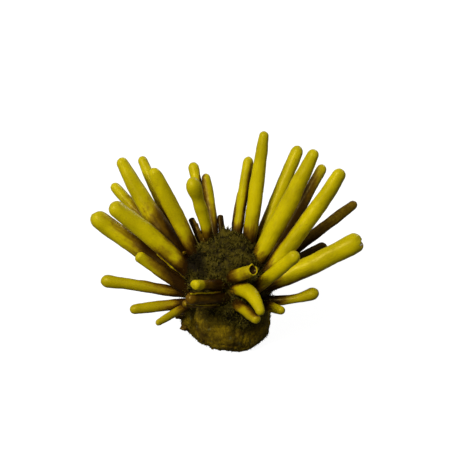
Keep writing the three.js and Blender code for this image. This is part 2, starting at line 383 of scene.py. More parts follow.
def tree_of(nodes):
    """A search tree over the faces of some CAD nodes."""
    points, corners, count = [], [], 0
    for node in nodes:
        some_points, some_corners = points_and_corners(node)
        points.extend(some_points.tolist())
        corners.extend((some_corners + count).tolist())
        count += len(some_points)
    return BVHTree.FromPolygons(points, corners)


def tree_without(*left_out):
    return tree_of([node for node in NODES if node not in left_out])


def slice_of(points, corners, axis, height):
    """Area and centre of a closed mesh's cross-section at a height along an axis."""
    level = points @ axis - height
    above = level[corners] > 0
    crossed = above.any(axis=1) & ~above.all(axis=1)
    corners, above = corners[crossed], above[crossed]
    # Turn each triangle so that its lone corner comes first.
    lone_side = above.sum(axis=1) == 1
    lone = np.argmax(above == lone_side[:, None], axis=1)
    rows = np.arange(len(corners))
    ordered = [corners[rows, (lone + k) % 3] for k in range(3)]
    ends = []
    for other in ordered[1:]:
        share = level[ordered[0]] / (level[ordered[0]] - level[other])
        ends.append(points[ordered[0]] + share[:, None] * (points[other] - points[ordered[0]]))
    middle = ends[0].mean(axis=0)
    first, second = ends[0] - middle, ends[1] - middle
    areas = np.cross(first, second) @ axis * np.where(lone_side, 0.5, -0.5)
    area = areas.sum()
    return abs(area), middle + ((first + second) * areas[:, None]).sum(axis=0) / 3 / area


class FingerShape:
    """The middle line and radius of a finger, measured from its CAD solid."""

    # Area of the faceted section over that of the round one.
    NINE_SIDES = 9 * math.tan(math.pi / 9) / math.pi

    def __init__(self, node):
        points, corners = points_and_corners(node)
        centred = points - points.mean(axis=0)
        axis = np.linalg.svd(centred, full_matrices=False)[2][0]
        axis *= np.sign(axis @ (points.mean(axis=0) - HEART))
        for _ in range(3):  # each pass slices squarer to the finger
            heights = points @ axis
            low, high = heights.min(), heights.max()
            area, _ = slice_of(points, corners, axis, 0.4 * low + 0.6 * high)
            top = high - 1.3 * math.sqrt(area / math.pi)
            bottom = low + 0.32 * (high - low)
            stations = np.linspace(bottom, max(top, bottom + 0.25 * (high - low)), 9)
            slices = [slice_of(points, corners, axis, station) for station in stations]
            centres = np.array([centre for _, centre in slices])
            axis = unit(centres[-1] - centres[0])
        self.axis, self.low, self.high = axis, low, high
        radii = np.sqrt(np.array([area for area, _ in slices]) / math.pi / self.NINE_SIDES)
        bend = 2 if high - low > 30 * MM else 1
        self.start = stations[0]
        off_axis = centres - stations[:, None] * axis
        self.centre_fit = np.polyfit(stations - self.start, off_axis, bend)
        self.radius_fit = np.polyfit(stations - self.start, radii, bend)
        self.least_radius = 0.72 * radii.min()
        self.length = high - low

    def centre(self, height):
        powers = (height - self.start) ** np.arange(len(self.centre_fit))[::-1]
        return height * self.axis + powers @ self.centre_fit

    def radius(self, height):
        return max(self.least_radius, float(np.polyval(self.radius_fit, height - self.start)))


def closed_mesh(name, rings, closing, attributes):
    """A mesh of rings of points, each joined to the next, with a point at one or both ends.

    closing is [first point or None, last point or None]. attributes maps a name to its values,
    one for each vertex.
    """
    count = len(rings[0])
    vertices = [point for ring in rings for point in ring]
    faces = []
    for r in range(len(rings) - 1):
        for i in range(count):
            j = (i + 1) % count
            a, b = r * count, (r + 1) * count
            faces.append((a + i, a + j, b + j, b + i))
    first, last = closing
    if first is not None:
        vertices.append(first)
        faces.extend((len(vertices) - 1, (i + 1) % count, i) for i in range(count))
    if last is not None:
        vertices.append(last)
        end = (len(rings) - 1) * count
        faces.extend((len(vertices) - 1, end + i, end + (i + 1) % count) for i in range(count))
    return mesh_object(name, vertices, faces, attributes)


def mesh_object(name, vertices, faces, attributes):
    mesh = bpy.data.meshes.new(name)
    mesh.from_pydata([tuple(v) for v in vertices], [], faces)
    mesh.update()
    mesh.shade_smooth()
    for label, values in attributes.items():
        values = np.asarray(values, np.float32)
        vector = values.ndim == 2
        kind, field = ("FLOAT_VECTOR", "vector") if vector else ("FLOAT", "value")
        mesh.attributes.new(label, kind, "POINT").data.foreach_set(field, values.ravel())
    piece = bpy.data.objects.new(name, mesh)
    bpy.context.scene.collection.objects.link(piece)
    return piece


def spread_directions(count):
    """Directions spread evenly over the upper half, more of them near straight up."""
    turn = math.pi * (3 - math.sqrt(5))
    found = []
    for i in range(count):
        level = math.sqrt((i + 0.5) / count)
        found.append((
            level * math.cos(i * turn), level * math.sin(i * turn), math.sqrt(1 - level * level),
        ))
    return found


def crowding(tree, places, normals, reach, rays=14, lift=0.75 * MM):
    """How hemmed in each place is, from 0 in the open to 1 at the bottom of a cleft, for painted
    shade.
    """
    around = spread_directions(rays)
    shares = []
    for place, normal in zip(places, normals):
        normal = Vector(normal)
        turned = normal.to_track_quat("Z", "Y")
        start = Vector(place) + normal * lift
        blocked = 0.0
        for direction in around:
            aim = turned @ Vector(direction)
            _, facing, _, hit = tree.ray_cast(start, aim, reach)
            if hit is not None:
                blocked += (1 - 0.6 * hit / reach) * (1 if facing.dot(aim) < 0 else 0.5)
        shares.append(blocked / rays)
    return np.array(shares)


def finger_profile(name, shape, settings):
    """Rows of [height, radius, how far the skin faces along the finger], root to tip."""
    radius_at_end = shape.radius(shape.high)
    hollow = HOLLOWS.get(name)
    cap = (0.35 if hollow else BLUNT_ENDS.get(name, ROUND_END)) * radius_at_end
    foot = shape.low - settings.sink
    shoulder = shape.high - cap
    steps = max(8, round((shoulder - foot) / settings.ring_spacing))
    rows = [(h, shape.radius(h), 0.0) for h in np.linspace(foot, shoulder, steps)]
    if hollow:
        depth = hollow * MM
        for rise, share, facing in (
            (0.6, 1.02, 0.4), (0.95, 0.98, 0.8), (1.0, 0.90, 1.0), (0.7, 0.82, 0.7),
        ):
            rows.append((shoulder + rise * cap, share * radius_at_end, facing))
        for sink, share in ((0.15, 0.76), (0.4, 0.68), (0.7, 0.54), (0.92, 0.34), (1.0, 0.15)):
            rows.append((shape.high - cap * 0.3 - sink * depth, share * radius_at_end, 0.3))
        return rows
    turns = np.linspace(0, math.pi / 2, 11)[1:-1]
    for turn in turns:
        reach = math.sin(turn) ** 0.94
        width = math.cos(turn) ** 0.94
        rows.append((shoulder + cap * reach, shape.radius(shoulder) * width, math.sin(turn)))
    return rows


def build_finger(name, settings):
    """One finger: its solid's line and thickness, with swellings and an uneven skin."""
    shape = FingerShape(name)
    seed = seed_of(name)
    shift = 0.37 * (seed % 97)
    rows = finger_profile(name, shape, settings)
    segments = settings.segments
    swells = SWELLS.get(name, ())
    dents = DENTS.get(name, ())
    droop, droop_share = DROOPS.get(name, (0, 1))
    at_root, at_tip, *change = BROWN_AND_SHADE_ALONG.get(name, (0.12, 0.0))
    change_from, change_to = change or (0.15, 0.85)
    side_shade_and_brown = SIDE_SHADE_AND_BROWN.get(name, ())
    broken = name in HOLLOWS
    notch = NOTCHES.get(name)
    ground = tree_of(["holdfast", "turf"])
    side = unit(np.cross(UP, shape.axis))
    upper = np.cross(shape.axis, side)
    oval_turn = 0.1 * (seed % 31)
    angles = np.linspace(0, 2 * math.pi, segments, endpoint=False)

    def middle(height):
        share = np.clip((height - shape.low) / shape.length, 0, 1)
        stray = settings.wander * share * (1 - 0.5 * share)
        place = shape.centre(height)
        along = height / (24 * MM)
        place = place + side * stray * noise.noise(Vector((along, shift, 0)))
        place = place + upper * stray * noise.noise(Vector((along, 0, shift)))
        bent = max(0.0, (share - (1 - droop_share)) / droop_share)
        return place - upper * droop * MM * bent * bent

    rings, normals, grown, from_tip, brown_and_shade, rooted = [], [], [], [], [], []
    for height, radius, facing in rows:
        share = np.clip((height - shape.low) / shape.length, 0, 1)
        here = middle(height)
        forward = unit(middle(height + MM) - middle(height - MM))
        across = unit(np.cross(UP, forward))
        over = np.cross(forward, across)
        swell = 1.0
        for place, width, much in swells:
            swell += much * math.exp(-(((share - place) * shape.length / (width * MM)) ** 2))
        ring = []
        for angle in angles:
            outward = across * math.cos(angle) + over * math.sin(angle)
            skin = unit(outward * (1.001 - facing) + forward * facing)
            oval = 1 + 0.035 * math.cos(2 * (angle - oval_turn))
            place = here + outward * radius * swell * oval
            lump = settings.lump_height * ripple(place, settings.lump_size, shift)
            lump += 0.4 * settings.lump_height * ripple(place, 0.4 * settings.lump_size, shift)
            grain = settings.grain_height * fractal(place, 1.6 * MM, 2, shift)
            for along, turn, width, depth in dents:
                off_height = (share - along) * shape.length
                off_turn = (math.cos(angle - math.radians(turn)) - 1) * 2.5 * radius
                far = (off_height * off_height + off_turn * off_turn) / (width * MM) ** 2
                grain -= depth * MM * math.exp(-far)
            if notch:
                turn, offset, width, depth = notch
                across_it = radius * swell * math.cos(angle - math.radians(turn)) - offset * MM
                near_end = smoothstep(3.5 * MM, 0.0, shape.high - height)
                grain -= depth * MM * near_end * math.exp(-((across_it / (width * MM)) ** 2))
            if broken and facing > 0.3:
                grain += 1.0 * MM * ripple(here + outward * radius, 2.0 * MM, shift)
            place = place + skin * (lump + grain) * min(1.0, radius / (1.2 * MM))
            ring.append(place)
            normals.append(skin)
            grown.append((
                radius * math.cos(angle) + shift, radius * math.sin(angle), height - shape.low,
            ))
            from_tip.append(shape.high - height)
            # Own brown and painted shade along the finger, and painted shade on the side facing its
            # neighbours.
            tone = at_root + (at_tip - at_root) * smoothstep(change_from, change_to, share)
            for turn, brown, full, gone in side_shade_and_brown:
                toward = max(0.0, math.cos(angle - math.radians(turn)))
                tone += brown * toward * (1 - smoothstep(full, gone, share))
            brown_and_shade.append(tone)
            rooted.append(ground.find_nearest(Vector(place))[3])
        rings.append(ring)
    foot = middle(rows[0][0])
    end_height = rows[-1][0] - 0.1 * MM if broken else shape.high
    end = middle(end_height)
    places = [point for ring in rings for point in ring] + [foot, end]
    normals += [-shape.axis, shape.axis]
    grown += [(shift, 0, rows[0][0] - shape.low), (shift, 0, end_height - shape.low)]
    from_tip += [shape.high - rows[0][0], shape.high - end_height]
    brown_and_shade += [at_root, at_tip]
    rooted += [0.0, rooted[-1]]
    # How crowded the skin is, for its painted shade.
    hemmed = crowding(tree_without(name), places, normals, 26 * MM)
    # Painted shade in the hollow of the broken end.
    if broken:
        inner = np.arange(len(places)) >= (len(rows) - 5) * segments
        inner[-2] = False
        hemmed = np.where(inner, 0.72, hemmed)
    attributes = {
        "grown": grown, "from_tip": from_tip, "brown_and_shade": brown_and_shade, "hemmed": hemmed,
        "rooted": rooted,
    }
    piece = closed_mesh("finger_" + name, rings, (foot, end), attributes)
    slot = "finger_brown" if name in BROWN_AND_SHADED_FINGERS else "finger_yellow"
    piece.data.materials.append(finger_material(slot, settings))
    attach(piece, "root")
    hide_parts(name)
    rng = random.Random(seed)
    return [
        (place, normal, 0.75 - 0.08 * far / MM)
        for place, normal, far, tight in zip(places, normals, rooted, hemmed)
        if far < 5.5 * MM and rng.random() < 0.62 * (1 - far / (5.5 * MM)) and tight < 0.9
    ]


def build_root_algae(name, sprouts, settings):
    """Tufts of algae that climb the roots of a group of fingers."""
    rng = random.Random(seed_of(name))
    vertices, faces, heights, bleached = blade_mesh(
        sprouts, rng, settings.blade_length, settings.blade_width,
    )
    # Painted shade, the same on every tuft.
    attributes = {"hemmed": [0.3] * len(vertices), "height": heights, "bleached": bleached}
    piece = mesh_object("algae_" + name, vertices, faces, attributes)
    piece.data.materials.append(algae_material(settings))
    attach(piece, "root")


def small_piece(name, rings, ends, normals, lengths, brown, settings):
    """A small closed piece of coral skin. lengths are distances from its foot, one a ring."""
    segments = len(rings[0])
    shift = 0.37 * (seed_of(name) % 97)
    places = [point for ring in rings for point in ring] + list(ends)
    along = [length for length in lengths for _ in range(segments)] + [lengths[0], lengths[-1]]
    attributes = {
        "grown": [(shift + p[0], p[1], p[2]) for p in places],
        "rooted": [12 * MM] * len(places),  # far from the roots, so without their painted shade
        "from_tip": [lengths[-1] - length for length in along],
        "brown_and_shade": [brown] * len(places),
        # Painted shade where the piece is crowded.
        "hemmed": 0.7 * crowding(tree_without("turf"), places, normals, 12 * MM),
    }
    piece = closed_mesh(name, rings, ends, attributes)
    piece.data.materials.append(finger_material("finger_yellow", settings))
    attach(piece, "root")


def build_bud(name, settings):
    """A short rounded bud, or a crumb where it is brown."""
    foot, aim, radius, height, brown = BUDS[name]
    shift = 0.37 * (seed_of(name) % 97)
    foot, aim = np.array(foot) * MM, unit(np.array(aim))
    radius, height = radius * MM, height * MM
    side = unit(np.cross(UP, aim))
    over = np.cross(aim, side)
    rough = 0.6 if brown > 0.5 else 0.2
    rings, normals, lengths = [], [], []
    for share in np.linspace(-0.2, 0.985, 14):
        taper = 1 - 0.8 * max(0, share) if brown > 1 else 1.0
        width = radius * taper * (1.0 if share < 0 else (1 - share ** 2.6) ** 0.5)
        ring = []
        for turn in np.linspace(0, 2 * math.pi, 20, endpoint=False):
            outward = side * math.cos(turn) + over * math.sin(turn)
            place = foot + aim * height * share + outward * width
            skin = unit(outward * (1.02 - max(0, share) ** 3) + aim * max(0, share) ** 3)
            place = place + skin * rough * radius * fractal(place, 0.9 * radius, 4, shift)
            ring.append(place)
            normals.append(skin)
        rings.append(ring)
        lengths.append(height * share)
    ends = (foot - aim * 0.2 * height, foot + aim * height)
    small_piece(name, rings, ends, normals + [-aim, aim], lengths, brown, settings)


def build_runner(name, settings):
    """A thin runner that lies along a finger."""
    finger, turn, first, last, thickness, brown = RUNNERS[name]
    shape = FingerShape(finger)
    turn = math.radians(turn)
    line = []
    for height in shape.low + shape.length * np.linspace(first, last, 40):
        across = unit(np.cross(UP, shape.axis))
        outward = across * math.cos(turn) + np.cross(shape.axis, across) * math.sin(turn)
        line.append(shape.centre(height) + outward * shape.radius(height))
    rings, normals, lengths, length = [], [], [], 0.0
    for i, here in enumerate(line):
        forward = unit(line[min(i + 1, len(line) - 1)] - line[max(i - 1, 0)])
        side = unit(np.cross(UP, forward))
        over = np.cross(forward, side)
        share = i / (len(line) - 1)
        fullness = 0.35 + 0.65 * math.sin(math.pi * (0.06 + 0.88 * share)) ** 0.5
        radius = 0.5 * thickness * MM * fullness
        radius *= 1 + 0.5 * ripple(here, 2 * MM, 4.4)
        wander = side * ripple(here, 4 * MM, 1.1) + over * ripple(here, 4 * MM, 6.6)
        here = here + 0.5 * MM * wander
        ring = []
        for turn in np.linspace(0, 2 * math.pi, 12, endpoint=False):
            outward = side * math.cos(turn) + over * math.sin(turn)
            ring.append(here + outward * radius)
            normals.append(outward)
        rings.append(ring)
        lengths.append(length)
        length += np.linalg.norm(line[1] - line[0])
    forward = unit(line[-1] - line[0])
    ends = (line[0] - forward * 0.2 * MM, line[-1] + forward * 0.2 * MM)
    small_piece(name, rings, ends, normals + [-forward, forward], lengths, brown, settings)


# ---------------------------------------------------------------- finishes


class Finish:
    """A material's node tree, built up node by node."""

    def __init__(self, name):
        self.material = bpy.data.materials.new(name)
        self.material.use_nodes = True
        self.tree = self.material.node_tree
        self.shader = self.tree.nodes["Principled BSDF"]
        self.output = self.tree.nodes["Material Output"]

    def node(self, kind, inputs=(), **settings):
        made = self.tree.nodes.new("ShaderNode" + kind)
        for key, value in settings.items():
            setattr(made, key, value)
        for socket, value in dict(inputs).items():
            self.put(made.inputs[socket], value)
        return made

    def put(self, socket, value):
        if isinstance(value, bpy.types.NodeSocket):
            self.tree.links.new(value, socket)
        elif hasattr(value, "__len__") and socket.type == "RGBA":
            socket.default_value = (*value[:3], 1)
        else:
            socket.default_value = value

    def attribute(self, name, output="Fac"):
        return self.node("Attribute", attribute_name=name).outputs[output]

    def maths(self, operation, first, second=0.0, clamp=False):
        made = self.node("Math", operation=operation, use_clamp=clamp)
        self.put(made.inputs[0], first)
        self.put(made.inputs[1], second)
        return made.outputs[0]

    def between(self, value, low, high, to_low=0.0, to_high=1.0):
        """value mapped smoothly from low..high to to_low..to_high."""
        made = self.node(
            "MapRange", {"From Min": low, "From Max": high, "To Min": to_low, "To Max": to_high},
            interpolation_type="SMOOTHSTEP",
        )
        self.put(made.inputs["Value"], value)
        return made.outputs[0]

    def mix(self, factor, first, second, blend="MIX"):
        made = self.node("Mix", data_type="RGBA", blend_type=blend)
        self.put(made.inputs["Factor"], factor)
        self.put(made.inputs[6], first)
        self.put(made.inputs[7], second)
        return made.outputs[2]

    def scaled(self, vector, scale):
        return self.node("Mapping", {"Vector": vector, "Scale": scale}).outputs[0]

    def noise(self, vector, size, detail=3.0, roughness=0.5, output="Fac"):
        return self.node("TexNoise", {
            "Vector": vector, "Scale": 1 / size, "Detail": detail, "Roughness": roughness,
        }).outputs[output]

    def cells(self, vector, size, feature="F1", output="Distance"):
        return self.node(
            "TexVoronoi", {"Vector": vector, "Scale": 1 / size}, feature=feature,
        ).outputs[output]

    def bump(self, height, depth, strength, onto=None):
        inputs = {"Height": height, "Distance": depth, "Strength": strength}
        if onto is not None:
            inputs["Normal"] = onto
        return self.node("Bump", inputs).outputs[0]


made_materials = {}


def made_once(name, build):
    """The material of that name, built the first time that it is asked for."""
    if name not in made_materials:
        made_materials[name] = build(name)
    return made_materials[name]


def finger_material(name, settings):
    def build(name):
        f = Finish("skin_" + name)
        grown = f.attribute("grown", "Vector")
        streaked = f.scaled(grown, (1, 1, 0.22))
        hemmed = f.attribute("hemmed")
        brown_and_shade = f.attribute("brown_and_shade")
        from_tip = f.attribute("from_tip")

        broad = f.noise(grown, 14 * MM, 2, 0.45)
        streaks = f.noise(streaked, 2.6 * MM, 4, 0.6)
        mottle = f.noise(grown, 3.2 * MM, 4, 0.62)
        polyps = f.cells(grown, 1.15 * MM)
        rooted = f.attribute("rooted")
        own_place = f.node("TexCoord").outputs["Object"]
        height = f.node("SeparateXYZ", {"Vector": own_place}).outputs["Z"]

        skin = f.mix(f.between(broad, 0.36, 0.66, 0, 0.6), settings.yellow, settings.olive)
        skin = f.mix(f.between(streaks, 0.52, 0.8, 0, 0.45), skin, settings.olive)
        skin = f.mix(f.between(mottle, 0.58, 0.78, 0, 0.45), skin, settings.rust)
        skin = f.mix(f.between(polyps, 0.10, 0.42, 0.14, 0), skin, settings.tip)
        skin = f.mix(f.between(from_tip, 7 * MM, 0.5 * MM, 0, 0.22), skin, settings.tip)
        # Painted shade: the low fingers darker towards the bottom.
        skin = f.mix(f.between(height, 56 * MM, 28 * MM, 0, 0.72), skin, settings.low_shade_olive)

        # Painted shade: crowded skin goes to rust, then brown, and last to umber in the clefts,
        # with each finger's listed brown and painted shade added in.
        uneven = f.maths("MULTIPLY", f.maths("SUBTRACT", mottle, 0.5), 0.4)
        patchy = f.maths("MULTIPLY", f.maths("SUBTRACT", broad, 0.5), 0.4)
        shade = f.maths("ADD", f.maths("ADD", hemmed, uneven), f.maths("MULTIPLY", brown_and_shade, 0.72))
        shade = f.maths("ADD", shade, patchy)
        # Darker close to the holdfast and the mat: painted shade, with some brown staining at the
        # roots.
        jagged = f.maths("MULTIPLY", f.maths("SUBTRACT", streaks, 0.5), 9 * MM)
        near = f.maths("ADD", rooted, jagged)
        shade = f.maths("ADD", shade, f.between(near, 12 * MM, 1.5 * MM, 0, 0.62))
        skin = f.mix(f.between(shade, 0.24, 0.56, 0, 0.85), skin, settings.rust)
        skin = f.mix(f.between(shade, 0.40, 0.74, 0, 0.95), skin, settings.brown)
        skin = f.mix(f.between(shade, 0.66, 1.0), skin, settings.umber)
        f.put(f.shader.inputs["Base Color"], skin)

        f.put(f.shader.inputs["Roughness"], f.between(mottle, 0.3, 0.75, 0.30, 0.50))
        f.put(f.shader.inputs["Specular IOR Level"], 0.22)
        f.put(f.shader.inputs["Specular Tint"], colour("FFE680"))
        f.put(f.shader.inputs["Subsurface Weight"], 0.10)
        f.put(f.shader.inputs["Subsurface Radius"], (1.0, 0.7, 0.12))
        f.put(f.shader.inputs["Subsurface Scale"], 1.4 * MM)

        pores = f.bump(f.between(polyps, 0.0, 0.5), 0.10 * MM, 0.35)
        grain = f.bump(mottle, 0.25 * MM, 0.35, pores)
        f.put(f.shader.inputs["Normal"], grain)
        return f.material

    return made_once(name, build)


def rock_material(settings, algae):
    def build(name):
        f = Finish(name)
        place = f.node("TexCoord").outputs["Object"]
        upright = f.scaled(place, (1, 1, 0.3))
        hemmed = f.attribute("hemmed")
        mossy = f.attribute("mossy")

        broad = f.noise(place, 9 * MM, 5, 0.62)
        mottle = f.noise(place, 1.8 * MM, 5, 0.7)
        fibres = f.noise(upright, 0.8 * MM, 5, 0.75)
        crusts = f.noise(place, 4.2 * MM, 2, 0.5)

        rock = f.mix(f.between(broad, 0.34, 0.68), settings.olive, settings.umber)
        rock = f.mix(f.between(fibres, 0.40, 0.72, 0, 0.75), rock, settings.umber)
        rock = f.mix(f.between(mottle, 0.56, 0.74, 0, 0.6), rock, settings.rust)
        rock = f.mix(f.between(crusts, 0.60, 0.70, 0, 0.45), rock, settings.lichen)
        moss = f.mix(f.between(mottle, 0.4, 0.65), algae.dark, algae.green)
        growth = f.maths("ADD", mossy, f.maths("MULTIPLY", f.maths("SUBTRACT", mottle, 0.5), 1.8))
        rock = f.mix(f.between(growth, 0.35, 0.75, 0, 0.74), rock, moss)
        # Painted shade: the rock goes dark where the fingers crowd it.
        deep = f.maths("ADD", hemmed, f.maths("MULTIPLY", f.maths("SUBTRACT", broad, 0.5), 0.4))
        rock = f.mix(f.between(deep, 0.45, 0.9), rock, algae.dark)
        f.put(f.shader.inputs["Base Color"], rock)
        f.put(f.shader.inputs["Roughness"], f.between(mottle, 0.3, 0.7, 0.72, 0.95))
        f.put(f.shader.inputs["Specular IOR Level"], 0.08)

        coarse = f.bump(mottle, 0.9 * MM, 0.7)
        threads = f.bump(fibres, 0.5 * MM, 0.8, coarse)
        f.put(f.shader.inputs["Normal"], threads)
        return f.material

    return made_once("bare_rock", build)


def algae_material(settings):
    def build(name):
        f = Finish(name)
        place = f.node("TexCoord").outputs["Object"]
        bleached = f.attribute("bleached")
        height = f.attribute("height")
        hemmed = f.attribute("hemmed")
        broad = f.noise(place, 7 * MM, 3, 0.6)
        mottle = f.noise(place, 1.4 * MM, 4, 0.65)
        blade = f.mix(f.between(broad, 0.36, 0.62), settings.dark, settings.green)
        blade = f.mix(f.between(mottle, 0.45, 0.7, 0, 0.75), blade, settings.green)
        # Painted shade: blades darker towards their feet, down in the mat.
        blade = f.mix(f.between(height, -0.3, 0.7), settings.dark, blade)
        blade = f.mix(f.between(bleached, 0.5, 1.0, 0, 0.85), blade, settings.pale)
        # Painted shade where the fingers crowd the mat, and in its dark hollows and patches.
        blade = f.mix(f.between(hemmed, 0.25, 0.75, 0, 0.93), blade, settings.dark)
        f.put(f.shader.inputs["Base Color"], blade)
        f.put(f.shader.inputs["Roughness"], f.between(mottle, 0.3, 0.7, 0.7, 0.95))
        f.put(f.shader.inputs["Specular IOR Level"], 0.08)
        f.put(f.shader.inputs["Normal"], f.bump(mottle, 0.5 * MM, 0.6))
        return f.material

    return made_once("felt_of_algae", build)


# ---------------------------------------------------------------- holdfast and algae


def growth_at(place):
    """How thickly algae grow at a place on the flank, 0 to 1."""
    x, _, z = place
    right = smoothstep(6 * MM, 15 * MM, x)
    middle = 0.8 * math.exp(-(((x - 2.5 * MM) / (3 * MM)) ** 2)) * smoothstep(3 * MM, 12 * MM, z)
    high = smoothstep(15 * MM, 27 * MM, z)
    patch = 0.5 + 0.9 * ripple(place, 8 * MM, 3.1)
    return float(np.clip((right + middle) * patch + 0.9 * high, 0, 1))


def holdfast_radius(tree, azimuth, height):
    """Radius of the CAD holdfast at an azimuth and a height, from a ray towards its axis."""
    outward = Vector((math.cos(azimuth), math.sin(azimuth), 0))
    start = Vector((0, 0, height)) + outward * 0.1
    hit = tree.ray_cast(start, -outward, 0.1)[3]
    return 0.0 if hit is None else 0.1 - hit


def build_holdfast(settings, algae):
    low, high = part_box("holdfast")
    solid = tree_of(["holdfast"])
    columns, rows = settings.columns, settings.rows
    angles = np.linspace(0, 2 * math.pi, columns, endpoint=False)
    rings, normals, mossy = [], [], []
    for row in range(rows):
        share = row / rows
        height = low.z + (high.z - low.z) * math.sin(share * math.pi / 2)
        ring = []
        for angle in angles:
            outward = np.array((math.cos(angle), math.sin(angle), 0.0))
            radius = holdfast_radius(solid, angle, max(height, low.z + 0.05 * MM))
            place = outward * radius + UP * height
            skin = unit(outward * math.cos(share * 1.4) + UP * math.sin(share * 1.4))
            lump = settings.lump_height * ripple(place, 8 * MM, 1.3)
            lump += 0.45 * settings.lump_height * fractal(place, 3 * MM, 3, 4.2)
            lump += 0.22 * settings.lump_height * fractal(place, 1.1 * MM, 2, 6.6)
            stretched = place * np.array((1, 1, 0.28))
            furrow = settings.furrow_depth * (1 - 2 * abs(ripple(stretched, 2.0 * MM, 8.5)))
            rim = math.exp(-height / (2.6 * MM))
            chip = settings.notch_depth * rim * max(0.0, ripple(place, 1.7 * MM, 5.5) + 0.15)
            place = place + skin * (lump + furrow - 2.2 * chip - 0.3 * MM)
            place[2] = max(0.0, place[2])
            if row == 0:
                ragged = max(0.0, ripple(outward * radius, 1.5 * MM, 9.1))
                place[2] = 0.0 if ragged < 0.12 else ragged * 0.9 * MM
            ring.append(place)
            normals.append(skin)
            mossy.append(growth_at(place))
        rings.append(ring)
    # The cut face: rings that close in on the middle of the flat bottom.
    rim_ring = rings[0]
    bottom = []
    for share in (0.3, 0.6, 0.8, 0.92, 0.97):
        ring = []
        for point in rim_ring:
            inner = np.array((point[0] * share, point[1] * share, 0.0))
            pit = max(0.0, ripple(inner, 2.4 * MM, 2.2) - 0.1) * 0.7 * MM
            inner[2] = pit if share > 0.4 else 0.0
            ring.append(inner)
            mossy.append(0.0)
            normals.append(-UP)
        bottom.append(ring)
    mossy = mossy[rows * columns:] + mossy[:rows * columns]
    normals = normals[rows * columns:] + normals[:rows * columns]
    rings = bottom + rings
    top = np.array((0.0, 0.0, rings[-1][0][2]))
    places = [p for ring in rings for p in ring] + [np.zeros(3), top]
    normals += [-UP, UP]
    mossy += [0.0, 1.0]
    # How crowded the rock is, for its painted shade.
    others = tree_without("holdfast", "turf")
    hemmed = crowding(others, places, normals, 22 * MM, rays=12, lift=1.0 * MM)
    attributes = {"hemmed": hemmed, "mossy": mossy}
    piece = closed_mesh("holdfast_stone", rings, (np.zeros(3), top), attributes)
    piece.data.materials.append(rock_material(settings, algae))
    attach(piece, "root")
    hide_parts("holdfast")
    return piece


def blade_mesh(sprouts, rng, length, width, ring_sides=3):
    """Vertices, faces, heights and shades of curved blades, one at each [place, normal, size]."""
    vertices, faces, heights, bleached = [], [], [], []
    for place, normal, size in sprouts:
        lean = unit(np.array([rng.gauss(0, 1) for _ in range(3)]))
        aim = unit(np.array(normal) + 0.75 * lean)
        side = unit(np.cross(aim, unit(np.array([rng.gauss(0, 1) for _ in range(3)]))))
        over = np.cross(aim, side)
        tall = length * size * rng.uniform(0.55, 1.25)
        thick = width * rng.uniform(0.7, 1.3) * min(1.0, 0.4 + size)
        curl = rng.uniform(0.1, 0.55) * tall
        pale = rng.random()
        base = len(vertices)
        for share, wide in ((-0.15, 1.0), (0.45, 0.8)):
            middle = np.array(place) + aim * tall * share + side * curl * share * abs(share)
            for k in range(ring_sides):
                turn = 2 * math.pi * k / ring_sides
                out = side * math.cos(turn) + over * math.sin(turn)
                vertices.append(middle + out * 0.5 * thick * wide)
                heights.append(max(0.0, share))
                bleached.append(pale)
        vertices.append(np.array(place) + aim * tall + side * curl)
        heights.append(1.0)
        bleached.append(pale)
        tip = base + 2 * ring_sides
        for k in range(ring_sides):
            j = (k + 1) % ring_sides
            lower, upper = base, base + ring_sides
            faces.append((lower + k, lower + j, upper + j, upper + k))
            faces.append((upper + k, upper + j, tip))
        faces.append(tuple(base + k for k in reversed(range(ring_sides))))
    return vertices, faces, heights, bleached


def mat_radius(solid, bare, direction, thickness):
    """How far the algae's skin lies from the dome's middle, along a direction."""
    start = DOME_MIDDLE + Vector(direction) * 0.1
    reach = 0.1
    over_rock = bare.ray_cast(start, -Vector(direction), reach)[3]
    rock = 0.0 if over_rock is None else reach - over_rock
    over_mat = solid.ray_cast(start, -Vector(direction), reach - max(rock, 0.01))[3]
    mat = 0.0 if over_mat is None else reach - over_mat
    return max(mat, rock + thickness)


def direction_of(azimuth, polar):
    """Unit vector at an azimuth round +Z and a polar angle down from +Z, in radians."""
    level = math.sin(polar)
    return np.array((level * math.cos(azimuth), level * math.sin(azimuth), math.cos(polar)))


def hem_polar(azimuth):
    """How far down the mat reaches at an azimuth: lower at the front right, ragged all round."""
    out = direction_of(azimuth, math.pi / 2)
    ragged = 9 * ripple(out, 0.35, 2.7) + 5 * ripple(out, 0.12, 7.3)
    front_right = max(0.0, math.cos(azimuth - math.radians(-68))) ** 8
    front_left = max(0.0, math.cos(azimuth - math.radians(-128))) ** 4
    return math.radians(88 + ragged + 22 * front_right - 9 * front_left)


def over_mounds(direction, sizes):
    """The mounds' sizes added up along a direction, each fading out over its mound's width."""
    total = 0.0
    for (azimuth, polar, width, _, _), size in zip(HUMMOCKS, sizes):
        middle = direction_of(math.radians(azimuth), math.radians(polar))
        off = math.acos(min(1.0, float(direction @ middle)))
        total += size * math.exp(-((off / math.radians(width)) ** 2))
    return total


def hummock(direction):
    """Height of the tufted mounds on the mat, along a direction."""
    return over_mounds(direction, [rise * MM for _, _, _, rise, _ in HUMMOCKS])


def darkness_at(place):
    """How dark the mat is at a place, 0 to 1."""
    direction = unit(np.array(place) - np.array(DOME_MIDDLE))
    return min(1.0, over_mounds(direction, [darker for _, _, _, _, darker in HUMMOCKS]))


